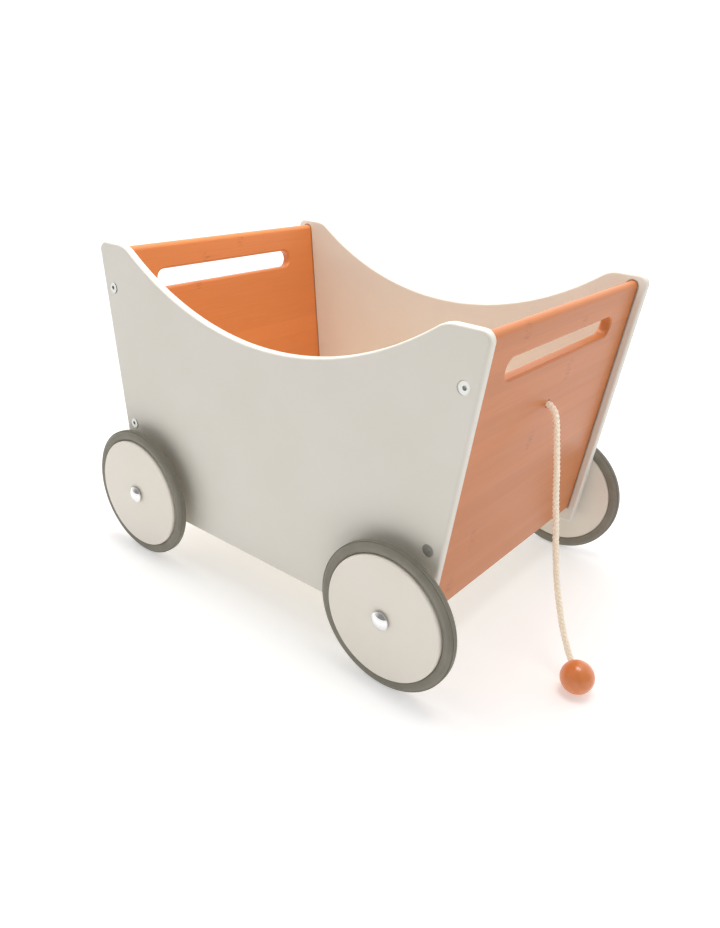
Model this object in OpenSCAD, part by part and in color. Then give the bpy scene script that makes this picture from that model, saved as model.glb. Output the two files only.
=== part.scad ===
// Child's wooden wagon: two painted side panels, two leaning bamboo end panels with hand slots,
// a raised floor, four rubber-tyred wheels on through axles, and a pull cord with a wooden ball.
// +X is forward, towards the pull cord, +Y is left and +Z is up. The origin is on the ground,
// midway between the wheels.

/* [Body] */
// Width over the two side panels
body_width = 330; // [280:1:400]
// Length of a side panel along its bottom edge
base_length = 426; // [380:1:520]
// Height of a side panel from its bottom edge to its top corners
side_height = 305.5; // [270:0.5:370]
// Gap between the ground and the side panels
ground_clearance = 50; // [40:1:64]
// Outward lean of both end panels, in degrees
end_lean = 6.75; // [3:0.25:9]

/* [Side panels] */
// Thickness of a side panel
side_thickness = 10; // [8:0.5:14]
// Depth of the dip in the top edge, below the top corners
dip_depth = 68; // [30:1:80]
// Radius of the dip
dip_radius = 341; // [300:1:420]
// Radius of the shoulders where the dip meets the top corners
shoulder_radius = 28; // [15:1:40]
// Radius of the top corners
top_corner_radius = 10; // [4:0.5:14]
// Radius of the bottom corners
bottom_corner_radius = 4; // [2:0.5:10]

/* [End panels] */
// Thickness of an end panel
end_thickness = 12; // [11:0.5:20]
// Distance that the side panels stand proud of an end panel's outer face
end_inset = 9; // [4:0.5:14]
// Distance from the bottom corner of the side panel to the end panel's bottom edge, up the slope
end_rise = 18; // [10:1:30]
// Distance that the end panel's top edge stays below the side panels' top edge
top_step = 7.5; // [1:0.5:10]
// Radius of the two rounded edges along the top
end_top_radius = 5; // [2:0.5:6.5]
// Length of the hand slot
slot_length = 216; // [140:1:230]
// Height of the hand slot
slot_height = 21; // [16:0.5:30]
// Distance from the top edge of the end panel to the middle of the hand slot
slot_drop = 39.5; // [34:0.5:60]
// Distance from the top edge of the end panel to the pull cord's hole
cord_hole_drop = 98.5; // [80:0.5:140]

/* [Floor] */
// Thickness of the floor panel
floor_thickness = 9; // [6:0.5:12]
// Thickness of the floor cleats, measured from the side panels
cleat_width = 15; // [12:0.5:20]
// Height of the floor cleats
cleat_height = 20; // [16:0.5:26]
// Width of the axle rails along the wagon
rail_width = 18; // [16:0.5:18]
// Wood left in a rail between the floor screws' points and the axle's hole
rail_web = 2.8; // [2:0.2:6]
// Height of the axle rail below the axle's centre
rail_below_axle = 14; // [10:0.5:16]
// Least gap between an axle rail and the end panel in front of it
rail_end_gap = 1; // [0.5:0.5:2]

/* [Wheels] */
// Diameter over the tyre
tyre_diameter = 152; // [140:1:160]
// Width of the tyre
tyre_width = 13; // [11:0.5:16]
// Radius of the tyre's shoulders
tyre_shoulder = 4.5; // [2:0.5:5]
// Diameter of the wheel disc
disc_diameter = 129; // [110:1:134]
// Thickness of the wheel disc
disc_thickness = 12; // [10:0.5:14]
// Radius of the wheel disc's edges
disc_edge_radius = 2; // [1:0.5:3]
// Distance from the side panel's end to the axle, at the bottom edge
axle_inset = 32; // [32:1:44]
// Distance between a side panel and the wheel disc
wheel_standoff = 12; // [9:0.5:16]

/* [Axles] */
// Diameter of the axle rods
axle_diameter = 8; // [6:0.5:10]
// Outside diameter of the hub bush
bush_diameter = 13; // [12:0.5:16]
// Diameter of the hub bush's flange
flange_diameter = 22; // [18:1:28]
// Thickness of the hub bush's flange
flange_thickness = 1.5; // [1:0.5:2.5]
// Diameter of the spacer between side panel and wheel
spacer_diameter = 16; // [14:0.5:20]
// Diameter of the domed axle caps
cap_diameter = 19; // [16:0.5:24]
// Height of the domed axle caps
cap_height = 6; // [5:0.5:8]

/* [Fasteners] */
// Diameter of the panel bolts
bolt_diameter = 6; // [5:0.5:6]
// Head diameter of the panel bolts
bolt_head_diameter = 12; // [10:0.5:12]
// Length of the panel bolts
bolt_length = 35; // [30:1:40]
// Across-flats size of the bolt's hexagon socket
bolt_socket = 4; // [3:0.5:4]
// Outside diameter of the threaded inserts
insert_diameter = 9; // [8:0.5:9]
// Length of the threaded inserts
insert_length = 14; // [10:1:16]
// Distance from the end panel's top edge to the top bolt
top_bolt_drop = 42; // [38:0.5:60]
// Distance from the end panel's bottom edge to the bottom bolt
bottom_bolt_rise = 82; // [50:1:100]
// Shank diameter of the wood screws
screw_diameter = 4; // [3:0.5:4]
// Head diameter of the wood screws
screw_head_diameter = 8; // [7:0.5:8]
// How far the floor screws go into what lies under the floor
floor_screw_bite = 9; // [6:0.5:14]
// How far the cleat screws go into the side panels
cleat_screw_bite = 7; // [5:0.5:7.5]

/* [Pull cord] */
// Diameter of the braided cord
cord_diameter = 7; // [5:0.5:7]
// Diameter of the cord's hole
cord_hole_diameter = 8.5; // [7.5:0.5:12]
// Diameter of the wooden ball
ball_diameter = 33; // [30:0.5:40]
// Diameter of the stopper knot behind the front panel
knot_diameter = 17; // [14:0.5:20]

/* [Clearances] */
// Radial clearance between an axle and a hub bush
running_clearance = 0.08; // [0.05:0.01:0.1]
// Radial clearance between an axle and the holes that carry it
axle_hole_clearance = 0.2; // [0.1:0.05:0.4]
// Radial clearance around bolts and screws in the holes they pass through
screw_clearance = 0.25; // [0.1:0.05:0.4]
// Gap at each end of a part that is fitted between two others
joint_gap = 0.2; // [0.1:0.05:0.4]
// Gap between a turning part and a fixed one
turning_gap = 0.4; // [0.3:0.05:0.8]

/* [Hidden] */

$fn = 96;
eps = 0.01;
overcut = 5;

// Which end and which side a repeated part is on
FRONT = 1;
REAR = -1;
LEFT = 1;
RIGHT = -1;

// Body
half_width = body_width / 2;
inner_half_width = half_width - side_thickness;
half_base = base_length / 2;
side_top = ground_clearance + side_height;
half_top = half_base + side_height * tan(end_lean);

// Dip and shoulders of the side panel's top edge
dip_centre_z = side_top - dip_depth + dip_radius;
shoulder_z = side_top - shoulder_radius;
shoulder_x = sqrt(pow(dip_radius + shoulder_radius, 2) - pow(dip_centre_z - shoulder_z, 2));
dip_end_x = shoulder_x * dip_radius / (dip_radius + shoulder_radius);
dip_end_z = dip_centre_z - (dip_centre_z - shoulder_z) * dip_radius / (dip_radius + shoulder_radius);

// End panels, up the slope from the side panel's bottom corner
slope_height = side_height / cos(end_lean);
end_top = slope_height - top_step - end_inset * tan(end_lean);
end_height = end_top - end_rise;
end_middle = -end_inset - end_thickness / 2;
top_bolt_z = end_top - top_bolt_drop;
bottom_bolt_z = end_rise + bottom_bolt_rise;

// Wheels and axles
axle_z = tyre_diameter / 2;
axle_x = half_base - axle_inset;
disc_inner_y = half_width + wheel_standoff;
disc_outer_y = disc_inner_y + disc_thickness;
tyre_set_back = 1.5;
tyre_middle_y = disc_inner_y + disc_thickness / 2 - tyre_set_back;
rib_width = 5;
rib_depth = 2;
flange_face_y = disc_inner_y - flange_thickness;
spacer_length = flange_face_y - turning_gap - half_width;
cap_y = disc_outer_y + turning_gap;
cap_neck_height = 1.6;
cap_neck_diameter = 13;
cap_rim_height = 1;
cap_bore_depth = 3.5;
axle_end_y = cap_y + cap_bore_depth - joint_gap;

// Floor, rails and cleats
axle_hole_radius = axle_diameter / 2 + axle_hole_clearance;
rail_top = axle_z + axle_hole_radius + rail_web + floor_screw_bite;
floor_top = rail_top + floor_thickness;
floor_screw_length = floor_thickness + floor_screw_bite;
cleat_screw_length = cleat_width + cleat_screw_bite;
rail_screw_inset = 60;
rail_screw_y = inner_half_width - rail_screw_inset;
cleat_end_gap = 3;
cleat_half_length = axle_x - rail_width / 2 - cleat_end_gap;
cleat_screw_end_inset = 34;
cleat_screw_x = [for (step = [-1, 0, 1]) step * (cleat_half_length - cleat_screw_end_inset)];
cleat_screw_drop = 12;
cleat_screw_z = rail_top - cleat_screw_drop;
floor_screw_end_inset = 67;
floor_screw_x = [for (step = [-1, 1]) step * (cleat_half_length - floor_screw_end_inset)];
driver_recess_depth = 1.5;

// Pull cord: it leaves the front panel square to its face, bends down on a radius of two
// diameters and hangs to the ball, which lies on the ground in front of the wagon. It turns about
// the first point of its free route.
cord_z = end_top - cord_hole_drop;
cord_shows = 0.8;
cord_sides = 10;
cord_radius = cord_diameter / 2;
ball_radius = ball_diameter / 2;
ball_centre = [328.5, -66.5, ball_radius];
cord_route = [
    [232, -1, 248], [235.5, -2.5, 245.5], [238, -4, 242.5], [240, -5.5, 238.5],
    [242.5, -7.5, 232], [244.5, -9.5, 225.5], [247, -11.5, 217], [250, -13.5, 205],
    [253.5, -16, 191], [256.5, -18.5, 177], [259.5, -20.5, 163], [263, -23, 149],
    [266.5, -25.5, 135], [270, -28, 121], [274, -30.5, 107], [278, -33, 93],
    [283, -36, 79], [288.5, -39.5, 66.5], [294.5, -43.5, 54.5], [300.5, -47.5, 44.5],
    [306.5, -51.5, 36.5], [312, -55.5, 30.5]
];
cord_mouth = cord_route[len(cord_route) - 1];
ball_axis = (cord_mouth - ball_centre) / norm(cord_mouth - ball_centre);
ball_bore_floor = 4;
ball_bore_clearance = 0.1;
cord_end = ball_centre + ball_axis * ball_bore_floor;
cord_path = concat(cord_route, [cord_end]);

// ---------------------------------------------------------------- helpers

// Places its children in the slope frame of an end: x is outward from the side panels' end
// line and z runs up the slope from their bottom corner.
module at_end(end) {
    mirror([end == FRONT ? 0 : 1, 0, 0])
        translate([half_base, 0, ground_clearance])
            rotate([0, end_lean, 0])
                children();
}

// Lays a solid made along +Z outward along +Y or -Y.
module pointing_out(side) {
    rotate([side == LEFT ? -90 : 90, 0, 0])
        children();
}

// A countersunk screw or bolt along -Z, with the top of its head at the origin.
module countersunk(head_diameter, shank_diameter, length) {
    cone_height = (head_diameter - shank_diameter) / 2;
    rotate_extrude()
        polygon([
            [0, 0], [head_diameter / 2, 0], [shank_diameter / 2, -cone_height],
            [shank_diameter / 2, -length], [0, -length]
        ]);
}

// The hole that a countersunk screw passes through: its cone and a clearance hole.
module countersunk_hole(head_diameter, shank_diameter, length) {
    cone_height = (head_diameter - shank_diameter) / 2;
    hole_radius = shank_diameter / 2 + screw_clearance;
    cone_foot = cone_height - screw_clearance;
    rotate_extrude()
        polygon([
            [0, overcut], [head_diameter / 2, overcut], [head_diameter / 2, 0],
            [hole_radius, -cone_foot], [hole_radius, -length], [0, -length]
        ]);
}

// A cross-shaped driver recess, cut down from the origin.
module cross_recess(size, depth) {
    for (turn = [0, 90])
        rotate([0, 0, turn])
            cube([size, size / 4.5, 2 * depth], center = true);
}

function unit(v) = v / norm(v);

// A rounded corner of a flat outline: the centre of the circle that touches both edges, and the
// two points where it touches them.
function corner_centre(before, corner, after, radius) =
    let (
        a = unit(before - corner),
        b = unit(after - corner),
        half_angle = acos(a * b) / 2
    )
    corner + unit(a + b) * radius / sin(half_angle);
function corner_touch(before, corner, after, radius) =
    let (
        a = unit(before - corner),
        b = unit(after - corner),
        half_angle = acos(a * b) / 2,
        reach = radius / tan(half_angle)
    )
    [corner + a * reach, corner + b * reach];

// A polygon whose corners are each rounded to their own radius.
module rounded_polygon(points, radii) {
    count = len(points);
    function before(i) = points[(i + count - 1) % count];
    function after(i) = points[(i + 1) % count];
    polygon([for (i = [0:count - 1]) each corner_touch(before(i), points[i], after(i), radii[i])]);
    for (i = [0:count - 1])
        translate(corner_centre(before(i), points[i], after(i), radii[i]))
            circle(r = radii[i]);
}

// ---------------------------------------------------------------- panels

// Outline of a side panel: x along the wagon, y up.
module side_outline() {
    difference() {
        rounded_polygon(
            [
                [-half_base, ground_clearance], [half_base, ground_clearance],
                [half_top, side_top], [-half_top, side_top]
            ],
            [bottom_corner_radius, bottom_corner_radius, top_corner_radius, top_corner_radius]
        );
        intersection() {
            translate([0, dip_centre_z])
                circle(r = dip_radius, $fn = 180);
            translate([-half_top, dip_end_z - dip_depth])
                square([2 * half_top, dip_depth]);
        }
        difference() {
            translate([-shoulder_x, dip_end_z])
                square([2 * shoulder_x, side_top - dip_end_z + overcut]);
            for (end = [FRONT, REAR])
                translate([end * shoulder_x, shoulder_z])
                    circle(r = shoulder_radius);
        }
    }
}

module side_panel(side) {
    difference() {
        translate([0, side * (half_width - side_thickness / 2), 0])
            rotate([90, 0, 0])
                linear_extrude(side_thickness, center = true)
                    side_outline();
        for (end = [FRONT, REAR]) {
            for (height = [bottom_bolt_z, top_bolt_z])
                at_end(end)
                    translate([end_middle, side * half_width, height])
                        pointing_out(side)
                            countersunk_hole(bolt_head_diameter, bolt_diameter, side_thickness + overcut);
            translate([end * axle_x, side * (half_width + overcut), axle_z])
                pointing_out(-side)
                    cylinder(r = axle_hole_radius, h = side_thickness + 2 * overcut);
        }
        for (x = cleat_screw_x)
            translate([x, side * (inner_half_width - eps), cleat_screw_z])
                pointing_out(side)
                    cylinder(d = screw_diameter, h = cleat_screw_bite + eps);
    }
}

// Cross-section of an end panel: x outward, y up the slope, with both top edges rounded.
module end_section() {
    top_radius = min(end_top_radius, end_thickness / 2 - 1);
    outer = -end_inset;
    inner = -end_inset - end_thickness;
    translate([inner, end_rise])
        square([end_thickness, end_height - top_radius]);
    translate([inner + top_radius, end_top - top_radius - eps])
        square([end_thickness - 2 * top_radius, top_radius + eps]);
    for (x = [inner + top_radius, outer - top_radius])
        translate([x, end_top - top_radius])
            circle(r = top_radius);
}

// The hand slot, through the panel's thickness.
module hand_slot() {
    cut = end_thickness + 2 * overcut;
    half_run = (slot_length - slot_height) / 2;
    translate([end_middle, 0, end_top - slot_drop]) {
        cube([cut, 2 * half_run, slot_height], center = true);
        for (y = [-half_run, half_run])
            translate([0, y, 0])
                rotate([0, 90, 0])
                    cylinder(d = slot_height, h = cut, center = true);
    }
}

module end_panel(end) {
    panel_width = 2 * (inner_half_width - joint_gap);
    insert_hole_depth = joint_gap + insert_length;
    bolt_hole_depth = bolt_length - side_thickness + overcut;
    at_end(end)
        difference() {
            rotate([90, 0, 0])
                linear_extrude(panel_width, center = true)
                    end_section();
            hand_slot();
            for (side = [LEFT, RIGHT], height = [bottom_bolt_z, top_bolt_z])
                translate([end_middle, side * (inner_half_width + overcut), height])
                    pointing_out(-side) {
                        cylinder(d = insert_diameter, h = insert_hole_depth + overcut);
                        cylinder(r = bolt_diameter / 2 + screw_clearance, h = bolt_hole_depth + overcut);
                    }
            if (end == FRONT)
                translate([end_middle, 0, cord_z])
                    rotate([0, 90, 0])
                        cylinder(d = cord_hole_diameter, h = end_thickness + 2 * overcut, center = true);
        }
}

module panel_bolts(end) {
    socket_depth = (bolt_head_diameter - bolt_diameter) / 2;
    at_end(end)
        for (side = [LEFT, RIGHT], height = [bottom_bolt_z, top_bolt_z])
            translate([end_middle, side * half_width, height])
                pointing_out(side)
                    difference() {
                        countersunk(bolt_head_diameter, bolt_diameter, bolt_length);
                        cylinder(d = bolt_socket / cos(30), h = 2 * socket_depth, center = true, $fn = 6);
                    }
}

module panel_inserts(end) {
    at_end(end)
        for (side = [LEFT, RIGHT], height = [bottom_bolt_z, top_bolt_z])
            translate([end_middle, side * (inner_half_width - joint_gap), height])
                pointing_out(-side)
                    difference() {
                        cylinder(d = insert_diameter, h = insert_length);
                        translate([0, 0, -eps])
                            cylinder(d = bolt_diameter, h = insert_length + 2 * eps);
                    }
}

// ---------------------------------------------------------------- floor

// Half the space between the end panels' inner faces at a height.
function inner_half_length(z) =
    half_base + (z - ground_clearance) * tan(end_lean) - (end_inset + end_thickness) / cos(end_lean);

module floor_panel() {
    difference() {
        rotate([90, 0, 0])
            linear_extrude(2 * (inner_half_width - joint_gap), center = true)
                polygon([
                    for (corner = [[-1, rail_top], [1, rail_top], [1, floor_top], [-1, floor_top]])
                        [corner[0] * (inner_half_length(corner[1]) - joint_gap), corner[1]]
                ]);
        for (place = floor_screw_places())
            translate([place[0], place[1], floor_top])
                countersunk_hole(screw_head_diameter, screw_diameter, floor_thickness + overcut);
    }
}

function floor_screw_places() = concat(
    [for (x = floor_screw_x, side = [LEFT, RIGHT]) [x, side * (inner_half_width - cleat_width / 2)]],
    [for (end = [FRONT, REAR], side = [LEFT, RIGHT]) [end * axle_x, side * rail_screw_y]]
);

module floor_screws() {
    for (place = floor_screw_places())
        translate([place[0], place[1], floor_top])
            difference() {
                countersunk(screw_head_diameter, screw_diameter, floor_screw_length);
                cross_recess(screw_head_diameter / 2, driver_recess_depth);
            }
}

// Pilot holes for the floor screws, in whatever lies under the floor panel.
module floor_screw_pilots() {
    for (place = floor_screw_places())
        translate([place[0], place[1], floor_top - floor_screw_length])
            cylinder(d = screw_diameter, h = floor_screw_length);
}

module floor_cleat(side) {
    difference() {
        translate([-cleat_half_length, side == LEFT ? inner_half_width - cleat_width : -inner_half_width,
                   rail_top - cleat_height])
            cube([2 * cleat_half_length, cleat_width, cleat_height]);
        floor_screw_pilots();
        for (x = cleat_screw_x)
            translate([x, side * (inner_half_width - cleat_width), cleat_screw_z])
                pointing_out(-side)
                    countersunk_hole(screw_head_diameter, screw_diameter, cleat_width + overcut);
    }
}

module cleat_screws() {
    for (side = [LEFT, RIGHT], x = cleat_screw_x)
        translate([x, side * (inner_half_width - cleat_width), cleat_screw_z])
            pointing_out(-side)
                difference() {
                    countersunk(screw_head_diameter, screw_diameter, cleat_screw_length);
                    cross_recess(screw_head_diameter / 2, driver_recess_depth);
                }
}

// A rail that the axle runs through, planed to the end panel's slope where it would meet it.
module axle_rail(end) {
    rail_length = 2 * (inner_half_width - joint_gap);
    difference() {
        translate([end * axle_x - rail_width / 2, -rail_length / 2, axle_z - rail_below_axle])
            cube([rail_width, rail_length, rail_top - axle_z + rail_below_axle]);
        translate([end * axle_x, 0, axle_z])
            rotate([90, 0, 0])
                cylinder(r = axle_hole_radius, h = rail_length + 2 * overcut, center = true);
        at_end(end)
            translate([-end_inset - end_thickness - rail_end_gap, -inner_half_width, 0])
                cube([end_thickness + rail_width, 2 * inner_half_width, slope_height]);
        floor_screw_pilots();
    }
}

// ---------------------------------------------------------------- running gear

module axle(end) {
    translate([end * axle_x, 0, axle_z])
        rotate([90, 0, 0])
            cylinder(d = axle_diameter, h = 2 * axle_end_y, center = true);
}

// Places children made along +Z at a wheel, with z measured out from the wagon's middle plane.
module at_wheel(end, side) {
    translate([end * axle_x, 0, axle_z])
        pointing_out(side)
            children();
}

module wheel_spacers() {
    for (end = [FRONT, REAR], side = [LEFT, RIGHT])
        at_wheel(end, side)
            translate([0, 0, half_width])
                difference() {
                    cylinder(d = spacer_diameter, h = spacer_length);
                    translate([0, 0, -eps])
                        cylinder(r = axle_hole_radius, h = spacer_length + 2 * eps);
                }
}

// A shallow dome with a thin rim on a narrower neck, with a blind bore that presses on to the
// axle's end.
module axle_caps(end) {
    dome_foot = cap_neck_height + cap_rim_height;
    dome_height = cap_height - dome_foot;
    dome_radius = (pow(cap_diameter / 2, 2) + pow(dome_height, 2)) / (2 * dome_height);
    for (side = [LEFT, RIGHT])
        at_wheel(end, side)
            translate([0, 0, cap_y])
                difference() {
                    rotate_extrude() {
                        square([cap_neck_diameter / 2, dome_foot]);
                        translate([0, cap_neck_height])
                            square([cap_diameter / 2, cap_rim_height + eps]);
                        intersection() {
                            translate([0, cap_height - dome_radius])
                                circle(r = dome_radius);
                            translate([0, dome_foot])
                                square([cap_diameter / 2, dome_height + overcut]);
                        }
                    }
                    translate([0, 0, -eps])
                        cylinder(d = axle_diameter, h = cap_bore_depth + eps);
                }
}

// A disc with rounded edges, a seat for the tyre's rib and a bore for the hub bush.
module wheel_disc(end, side) {
    radius = disc_diameter / 2;
    at_wheel(end, side)
        translate([0, 0, disc_inner_y])
            rotate_extrude($fn = 180)
                difference() {
                    union() {
                        translate([bush_diameter / 2, 0])
                            square([radius - bush_diameter / 2 - disc_edge_radius, disc_thickness]);
                        translate([bush_diameter / 2, disc_edge_radius])
                            square([radius - bush_diameter / 2, disc_thickness - 2 * disc_edge_radius]);
                        for (y = [disc_edge_radius, disc_thickness - disc_edge_radius])
                            translate([radius - disc_edge_radius, y])
                                circle(r = disc_edge_radius, $fn = 32);
                    }
                    translate([radius - rib_depth, tyre_middle_y - disc_inner_y - rib_width / 2])
                        square([rib_depth + eps, rib_width]);
                }
}

// A solid rubber tyre with rounded shoulders, fine grooves round its tread and a rib inside
// that seats in the disc's groove.
module tyre(end, side) {
    inner = disc_diameter / 2;
    outer = tyre_diameter / 2;
    half = tyre_width / 2;
    tread_groove = 0.7;
    tread_groove_y = 1.2;
    at_wheel(end, side)
        translate([0, 0, tyre_middle_y])
            rotate_extrude($fn = 180)
                difference() {
                    union() {
                        translate([inner, -half])
                            square([outer - inner - tyre_shoulder, tyre_width]);
                        translate([inner, -half + tyre_shoulder])
                            square([outer - inner, tyre_width - 2 * tyre_shoulder]);
                        for (y = [-half + tyre_shoulder, half - tyre_shoulder])
                            translate([outer - tyre_shoulder, y])
                                circle(r = tyre_shoulder, $fn = 48);
                        translate([inner - rib_depth, -rib_width / 2])
                            square([rib_depth + eps, rib_width]);
                    }
                    for (y = [-tread_groove_y, tread_groove_y])
                        translate([outer - tread_groove / 2, y - tread_groove / 2])
                            square([tread_groove, tread_groove]);
                }
}

// A flanged plastic bush: its flange faces the side panel and its sleeve lines the disc.
module hub_bush(end, side) {
    bush_length = flange_thickness + disc_thickness;
    at_wheel(end, side)
        difference() {
            union() {
                translate([0, 0, flange_face_y])
                    cylinder(d = flange_diameter, h = flange_thickness);
                translate([0, 0, flange_face_y + flange_thickness / 2])
                    cylinder(d = bush_diameter, h = flange_thickness / 2 + disc_thickness);
            }
            translate([0, 0, flange_face_y - overcut])
                cylinder(r = axle_diameter / 2 + running_clearance, h = bush_length + 2 * overcut);
        }
}

// ---------------------------------------------------------------- pull cord

// The cord's stretch through the front panel, which just shows in front of it, and the overhand
// knot that stops it inside.
module stopper_knot() {
    knot_gap = 0.2;
    knot_flat = 0.35 * knot_diameter;
    at_end(FRONT)
        translate([0, 0, cord_z])
            rotate([0, -90, 0]) {
                translate([0, 0, end_inset - cord_shows])
                    cylinder(d = cord_diameter, h = cord_shows + end_thickness + knot_gap + knot_flat);
                translate([0, 0, end_inset + end_thickness + knot_gap])
                    rotate_extrude()
                        intersection() {
                            translate([0, knot_flat])
                                circle(d = knot_diameter);
                            square([knot_diameter, 2 * knot_flat]);
                        }
            }
}

// A ring of points round a path: at point i, moved along the path by shift.
function travel(path, i) =
    unit(path[min(i + 1, len(path) - 1)] - path[max(i - 1, 0)]);
function ring(path, i, radius, shift) =
    let (
        along = travel(path, i),
        across = unit(cross(along, [0, 1, 0])),
        outward = cross(along, across)
    )
    [
        for (side = [0:cord_sides - 1])
            let (angle = 360 * side / cord_sides)
            path[i] + shift * along + radius * (cos(angle) * across + sin(angle) * outward)
    ];

// The free cord, as one tube swept along its route from the front panel into the ball. Its
// start is rounded, so that it can turn about the first point of the route.
module pull_rope() {
    start_angles = [75, 50, 25];
    rings = concat(
        [for (angle = start_angles) ring(cord_path, 0, cord_radius * cos(angle), -cord_radius * sin(angle))],
        [for (i = [0:len(cord_path) - 1]) ring(cord_path, i, cord_radius, 0)]
    );
    points = [for (one_ring = rings) each one_ring];
    walls = [
        for (i = [0:len(rings) - 2], k = [0:cord_sides - 1])
            let (
                next = (k + 1) % cord_sides,
                low = i * cord_sides,
                high = low + cord_sides
            )
            [low + k, high + k, high + next, low + next]
    ];
    first_end = [for (k = [0:cord_sides - 1]) k];
    last_end = [for (k = [0:cord_sides - 1]) len(points) - 1 - k];
    polyhedron(points, concat([first_end], walls, [last_end]), convexity = 4);
}

module pull_ball() {
    tilt = acos(ball_axis[2]);
    turn = atan2(ball_axis[1], ball_axis[0]);
    translate(ball_centre)
        difference() {
            sphere(d = ball_diameter, $fn = 96);
            rotate([0, tilt, turn])
                translate([0, 0, ball_bore_floor])
                    cylinder(r = cord_radius + ball_bore_clearance, h = ball_diameter);
        }
}

// ---------------------------------------------------------------- nodes

cream = "#ece4d4";
bamboo = "#cf7a45";
birch = "#d9bd8e";

color(cream) side_panel(LEFT);  // side_panel_left
color(cream) side_panel(RIGHT);  // side_panel_right
color(bamboo) end_panel(FRONT);  // front_panel
color(bamboo) end_panel(REAR);  // rear_panel
color(birch) floor_panel();
color(birch) floor_cleat(LEFT);  // floor_cleat_left
color(birch) floor_cleat(RIGHT);  // floor_cleat_right
color(birch) axle_rail(FRONT);  // axle_rail_front
color(birch) axle_rail(REAR);  // axle_rail_rear
color("silver") panel_bolts(FRONT);  // front_panel_bolts
color("silver") panel_bolts(REAR);  // rear_panel_bolts
color("darkkhaki") panel_inserts(FRONT);  // front_panel_inserts
color("darkkhaki") panel_inserts(REAR);  // rear_panel_inserts
color("silver") floor_screws();
color("silver") cleat_screws();
color("silver") axle(FRONT);  // axle_front
color("silver") axle(REAR);  // axle_rear
color("ivory") wheel_spacers();
color("silver") axle_caps(FRONT);  // axle_caps_front
color("silver") axle_caps(REAR);  // axle_caps_rear
color(cream) wheel_disc(FRONT, LEFT);  // wheel_disc_front_left
color(cream) wheel_disc(FRONT, RIGHT);  // wheel_disc_front_right
color(cream) wheel_disc(REAR, LEFT);  // wheel_disc_rear_left
color(cream) wheel_disc(REAR, RIGHT);  // wheel_disc_rear_right
color("dimgray") tyre(FRONT, LEFT);  // tyre_front_left
color("dimgray") tyre(FRONT, RIGHT);  // tyre_front_right
color("dimgray") tyre(REAR, LEFT);  // tyre_rear_left
color("dimgray") tyre(REAR, RIGHT);  // tyre_rear_right
color("ivory") hub_bush(FRONT, LEFT);  // hub_bush_front_left
color("ivory") hub_bush(FRONT, RIGHT);  // hub_bush_front_right
color("ivory") hub_bush(REAR, LEFT);  // hub_bush_rear_left
color("ivory") hub_bush(REAR, RIGHT);  // hub_bush_rear_right
color("wheat") stopper_knot();
color("wheat") pull_rope();
color("chocolate") pull_ball();
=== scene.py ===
# %% [markdown]
# # A child's wooden wagon with a pull cord
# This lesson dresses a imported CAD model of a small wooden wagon. Two painted side panels carry
# two stained bamboo end panels between them, four rubber-tyred wheels turn on through axles, and
# a braided cotton cord with a wooden ball hangs from the front panel.
# The CAD model is the fixed frame: its sizes and places are read from it, and it is never moved.

# %% Load the frame
import math

import bmesh
import bpy
import numpy as np
from mathutils import Matrix, Vector


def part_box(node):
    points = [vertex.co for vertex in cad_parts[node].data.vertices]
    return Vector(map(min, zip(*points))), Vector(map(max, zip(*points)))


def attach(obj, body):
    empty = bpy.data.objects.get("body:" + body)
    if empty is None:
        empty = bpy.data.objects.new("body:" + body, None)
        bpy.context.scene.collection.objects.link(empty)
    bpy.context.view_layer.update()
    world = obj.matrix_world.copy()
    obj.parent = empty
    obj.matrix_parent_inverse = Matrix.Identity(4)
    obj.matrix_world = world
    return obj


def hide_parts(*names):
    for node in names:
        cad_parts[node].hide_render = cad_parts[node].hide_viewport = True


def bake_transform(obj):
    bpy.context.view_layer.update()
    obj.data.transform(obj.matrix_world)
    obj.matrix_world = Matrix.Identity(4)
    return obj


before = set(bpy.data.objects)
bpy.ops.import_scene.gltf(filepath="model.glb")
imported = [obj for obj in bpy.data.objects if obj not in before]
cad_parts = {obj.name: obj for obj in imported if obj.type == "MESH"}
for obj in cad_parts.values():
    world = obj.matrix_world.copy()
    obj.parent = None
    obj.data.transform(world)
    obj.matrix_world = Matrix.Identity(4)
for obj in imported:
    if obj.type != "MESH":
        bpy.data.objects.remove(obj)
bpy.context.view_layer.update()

scene = bpy.context.scene
MM = 0.001

# %% [markdown]
# ## The camera
# A product view is set by where the camera stands, which way it looks and how wide its lens is.
# It could be aimed by a tracking constraint at the wagon's middle, but a fixed position with a
# heading, a downward tilt and a slight roll is easier to keep the same from run to run.

# %% Camera
camera_place = Vector((0.51825, -0.66786, 0.50514))
heading = math.radians(37.736)
look_down = math.radians(24.966)
roll = math.radians(2.904)
level_reach = math.cos(look_down)
forward = Vector((-math.sin(heading) * level_reach, math.cos(heading) * level_reach, -math.sin(look_down)))
level_right = Vector((math.cos(heading), math.sin(heading), 0))
level_up = level_right.cross(forward)
right = math.cos(roll) * level_right + math.sin(roll) * level_up
up = math.cos(roll) * level_up - math.sin(roll) * level_right
camera = bpy.data.objects.new("camera", bpy.data.cameras.new("camera"))
camera.data.sensor_width = 36
camera.data.lens = 30.09
turn = Matrix((right, up, -forward)).transposed().to_4x4()
camera.matrix_world = Matrix.Translation(camera_place) @ turn
scene.collection.objects.link(camera)
scene.camera = camera
print("camera stands", round(camera_place.length, 3), "m from the wagon's foot")

# %% [markdown]
# ## Meshes made from rings
# Almost every part of a wagon is a row of rings joined by strips of faces: a rounded board, a
# turned ball, a tyre, a strand of cord. One helper that lofts rings is therefore enough. Blender's
# own screw or bevel modifiers could do the same, but rings keep every radius in the maker's hands.

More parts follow.
